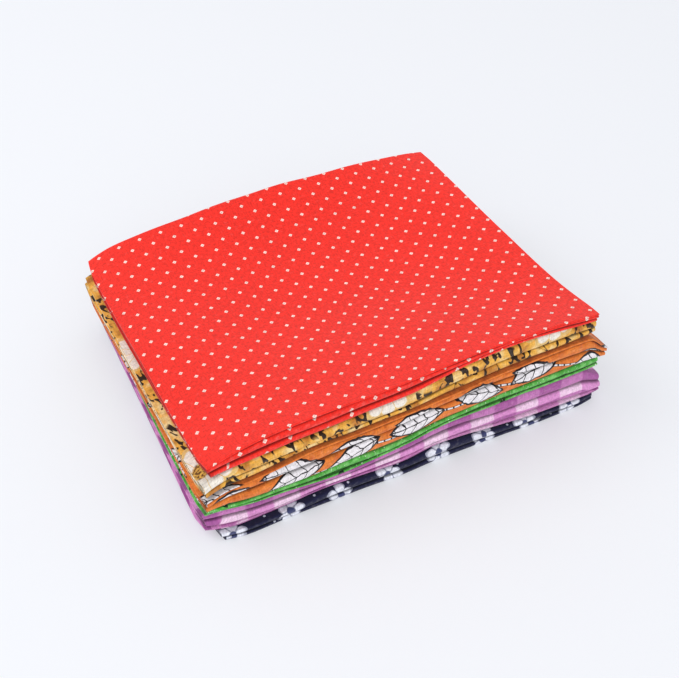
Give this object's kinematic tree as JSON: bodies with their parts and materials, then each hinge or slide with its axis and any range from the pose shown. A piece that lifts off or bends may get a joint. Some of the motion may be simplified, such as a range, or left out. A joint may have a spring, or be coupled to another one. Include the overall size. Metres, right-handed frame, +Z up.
{
  "type": "folded fat quarter bundle",
  "caption": "Stack of cotton quarters, each folded back and forth into a flat rectangle, with soft front folds and a slightly sagging top.",
  "frame": {"origin": "under the middle of the bundle, on the surface that it rests on", "axes": "+X along the long side of the folded cloths, +Y from the front folds to the back, +Z up through the stack"},
  "size_m": [0.1685, 0.14, 0.0475],
  "materials": {
    "red_cotton": "matt printed cotton, warm red with a small pale diamond repeat",
    "ochre_cotton": "matt printed cotton, ochre with dark marks and pale flowers",
    "orange_cotton": "matt printed cotton, orange with outlined pale leaves",
    "green_cotton": "matt printed cotton, mid green with small leaf marks",
    "lilac_cotton": "matt printed cotton, lilac block check",
    "navy_cotton": "matt printed cotton, navy with small white flowers"
  },
  "bodies": {
    "root": {"red_dotted_quarter": "red_cotton", "ochre_flowered_quarter": "ochre_cotton", "orange_leaf_quarter": "orange_cotton", "green_sprigged_quarter": "green_cotton", "lilac_checked_quarter": "lilac_cotton", "navy_flowered_quarter": "navy_cotton"}
  },
  "joints": []
}
